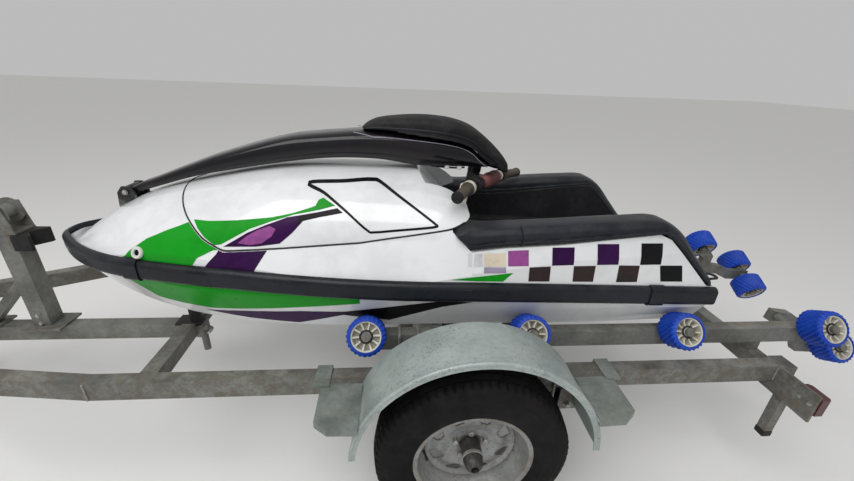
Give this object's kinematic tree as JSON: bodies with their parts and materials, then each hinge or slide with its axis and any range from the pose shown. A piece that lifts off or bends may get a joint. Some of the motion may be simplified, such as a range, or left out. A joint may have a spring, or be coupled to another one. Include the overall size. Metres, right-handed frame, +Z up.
{
  "type": "stand-up personal watercraft on trailer",
  "caption": "Stand-up personal watercraft with a folding handle pole, jet pump and steering nozzle, resting on a galvanised roller trailer with winch and jockey wheel.",
  "frame": {"origin": "on the ground under the middle of the whole length and width", "axes": "+X forward to the bow and the coupling, +Y to port, +Z up"},
  "size_m": [4.0635, 1.239, 1.19],
  "materials": {
    "white_shell": "glossy",
    "hood_shell": "glossy",
    "hull_shell": "glossy",
    "bumper_rubber": "satin",
    "black_vinyl": "satin",
    "foam_mat": "matte",
    "pole_shell": "glossy",
    "pad_foam": "matte",
    "bar_metal": "satin",
    "grip_rubber": "matte",
    "control_plastic": "matte",
    "engine_block": "matte",
    "pump_metal": "satin",
    "impeller_steel": "satin",
    "fitting_plastic": "matte",
    "galvanised": "weathered zinc",
    "lamp_red": "glossy",
    "rest_rubber": "matte",
    "wheel_steel": "satin",
    "tyre_rubber": "matte",
    "roller_rubber": "satin",
    "spring_steel": "matte"
  },
  "bodies": {
    "craft_and_trailer": {"hull": "hull_shell", "deck": "white_shell", "hood": "hood_shell", "bumper": "bumper_rubber", "bolster_left": "black_vinyl", "bolster_right": "black_vinyl", "tray_mat": "foam_mat", "pole_bracket": "bar_metal", "engine": "engine_block", "pump_housing": "pump_metal", "intake_grate": "pump_metal", "ride_plate": "pump_metal", "drain_rings": "fitting_plastic", "stern_loop": "bar_metal", "side_rails": "galvanised", "drawbar": "galvanised", "cross_members": "galvanised", "rear_beam": "galvanised", "tail_lamps": "lamp_red", "roller_beam_left": "galvanised", "roller_beam_right": "galvanised", "swing_arm_left": "galvanised", "swing_arm_right": "galvanised", "keel_rest": "rest_rubber", "axle": "galvanised", "leaf_springs": "spring_steel", "spring_hangers": "galvanised", "fender_left": "galvanised", "fender_right": "galvanised", "step_plates": "galvanised", "coupling": "galvanised", "winch_post": "galvanised", "bow_stop": "rest_rubber", "jockey_bracket": "galvanised"},
    "pole": {"handle_pole": "pole_shell", "pole_pad": "pad_foam"},
    "steering": {"handlebar": "bar_metal", "hand_grips": "grip_rubber", "bar_controls": "control_plastic"},
    "nozzle": {"steering_nozzle": "pump_metal"},
    "impeller_shaft": {"impeller": "impeller_steel"},
    "wheel_left": {"rim_left": "wheel_steel", "tyre_left": "tyre_rubber"},
    "wheel_right": {"rim_right": "wheel_steel", "tyre_right": "tyre_rubber"},
    "winch": {"winch_drum": "galvanised"},
    "jockey_leg": {"jockey_stem": "galvanised"},
    "jockey_caster": {"jockey_fork": "galvanised"},
    "jockey_roll": {"jockey_wheel": "rest_rubber"},
    "roller_left_front_body": {"roller_left_front": "roller_rubber"},
    "roller_left_middle_body": {"roller_left_middle": "roller_rubber"},
    "roller_left_rear_body": {"roller_left_rear": "roller_rubber"},
    "roller_right_front_body": {"roller_right_front": "roller_rubber"},
    "roller_right_middle_body": {"roller_right_middle": "roller_rubber"},
    "roller_right_rear_body": {"roller_right_rear": "roller_rubber"},
    "roller_left_end_body": {"roller_left_end": "roller_rubber"},
    "roller_arm_left_lower_body": {"roller_arm_left_lower": "roller_rubber"},
    "roller_arm_right_front_body": {"roller_arm_right_front": "roller_rubber"},
    "roller_arm_right_outer_body": {"roller_arm_right_outer": "roller_rubber"},
    "roller_arm_right_inner_body": {"roller_arm_right_inner": "roller_rubber"}
  },
  "joints": [
    {"name": "pole_lift", "type": "hinge", "parent": "craft_and_trailer", "child": "pole", "pos_m": [0.598, 0, 0.926], "axis": [0, 1, 0], "range_deg": [0, 65]},
    {"name": "bar_steer", "type": "hinge", "parent": "pole", "child": "steering", "pos_m": [-0.5596, 0, 0.98645], "axis": [-0.1392, 0, 0.9903], "range_deg": [-7, 73]},
    {"name": "nozzle_steer", "type": "hinge", "parent": "craft_and_trailer", "child": "nozzle", "pos_m": [-1.236, 0, 0.576], "axis": [0, 0, 1], "range_deg": [-36.5, 3.5]},
    {"name": "impeller_spin", "type": "hinge", "parent": "craft_and_trailer", "child": "impeller_shaft", "pos_m": [-1.059, 0, 0.576], "axis": [1, 0, 0], "continuous": true},
    {"name": "wheel_spin_left", "type": "hinge", "parent": "craft_and_trailer", "child": "wheel_left", "pos_m": [-0.514, 0.52, 0.291], "axis": [0, 1, 0], "continuous": true},
    {"name": "wheel_spin_right", "type": "hinge", "parent": "craft_and_trailer", "child": "wheel_right", "pos_m": [-0.514, -0.52, 0.291], "axis": [0, 1, 0], "continuous": true},
    {"name": "winch_turn", "type": "hinge", "parent": "craft_and_trailer", "child": "winch", "pos_m": [1.04, 0, 0.836], "axis": [0, 1, 0], "continuous": true},
    {"name": "jockey_slide", "type": "slide", "parent": "craft_and_trailer", "child": "jockey_leg", "axis": [0, 0, 1], "range_m": [0, 0.1]},
    {"name": "jockey_swivel", "type": "hinge", "parent": "jockey_leg", "child": "jockey_caster", "pos_m": [1.65, -0.078, 0.25], "axis": [0, 0, 1], "continuous": true},
    {"name": "jockey_spin", "type": "hinge", "parent": "jockey_caster", "child": "jockey_roll", "pos_m": [1.616, -0.078, 0.095], "axis": [0, 1, 0], "continuous": true},
    {"name": "roller_left_front_spin", "type": "hinge", "parent": "craft_and_trailer", "child": "roller_left_front_body", "pos_m": [-0.199, 0.35554, 0.574], "axis": [0, 0.866, 0.5], "continuous": true},
    {"name": "roller_left_middle_spin", "type": "hinge", "parent": "craft_and_trailer", "child": "roller_left_middle_body", "pos_m": [-0.712, 0.35893, 0.574], "axis": [0, 0.866, 0.5], "continuous": true},
    {"name": "roller_left_rear_spin", "type": "hinge", "parent": "craft_and_trailer", "child": "roller_left_rear_body", "pos_m": [-1.225, 0.36065, 0.574], "axis": [0, 0.866, 0.5], "continuous": true},
    {"name": "roller_right_front_spin", "type": "hinge", "parent": "craft_and_trailer", "child": "roller_right_front_body", "pos_m": [-0.199, -0.35554, 0.574], "axis": [0, -0.866, 0.5], "continuous": true},
    {"name": "roller_right_middle_spin", "type": "hinge", "parent": "craft_and_trailer", "child": "roller_right_middle_body", "pos_m": [-0.712, -0.35893, 0.574], "axis": [0, -0.866, 0.5], "continuous": true},
    {"name": "roller_right_rear_spin", "type": "hinge", "parent": "craft_and_trailer", "child": "roller_right_rear_body", "pos_m": [-1.225, -0.36065, 0.574], "axis": [0, -0.866, 0.5], "continuous": true},
    {"name": "roller_left_end_spin", "type": "hinge", "parent": "craft_and_trailer", "child": "roller_left_end_body", "pos_m": [-1.735, 0.36065, 0.574], "axis": [0, 0.866, 0.5], "continuous": true},
    {"name": "roller_arm_left_lower_spin", "type": "hinge", "parent": "craft_and_trailer", "child": "roller_arm_left_lower_body", "pos_m": [-1.972, 0.256, 0.408], "axis": [0, 0.866, 0.5], "continuous": true},
    {"name": "roller_arm_right_front_spin", "type": "hinge", "parent": "craft_and_trailer", "child": "roller_arm_right_front_body", "pos_m": [-1.755, -0.256, 0.612], "axis": [0, -0.866, 0.5], "continuous": true},
    {"name": "roller_arm_right_outer_spin", "type": "hinge", "parent": "craft_and_trailer", "child": "roller_arm_right_outer_body", "pos_m": [-1.969, -0.256, 0.508], "axis": [0, -0.866, 0.5], "continuous": true},
    {"name": "roller_arm_right_inner_spin", "type": "hinge", "parent": "craft_and_trailer", "child": "roller_arm_right_inner_body", "pos_m": [-1.969, -0.14, 0.441], "axis": [0, -0.866, 0.5], "continuous": true}
  ],
  "couplings": [
    {"joint": "nozzle_steer", "follows": "bar_steer", "ratio": -0.5}
  ]
}
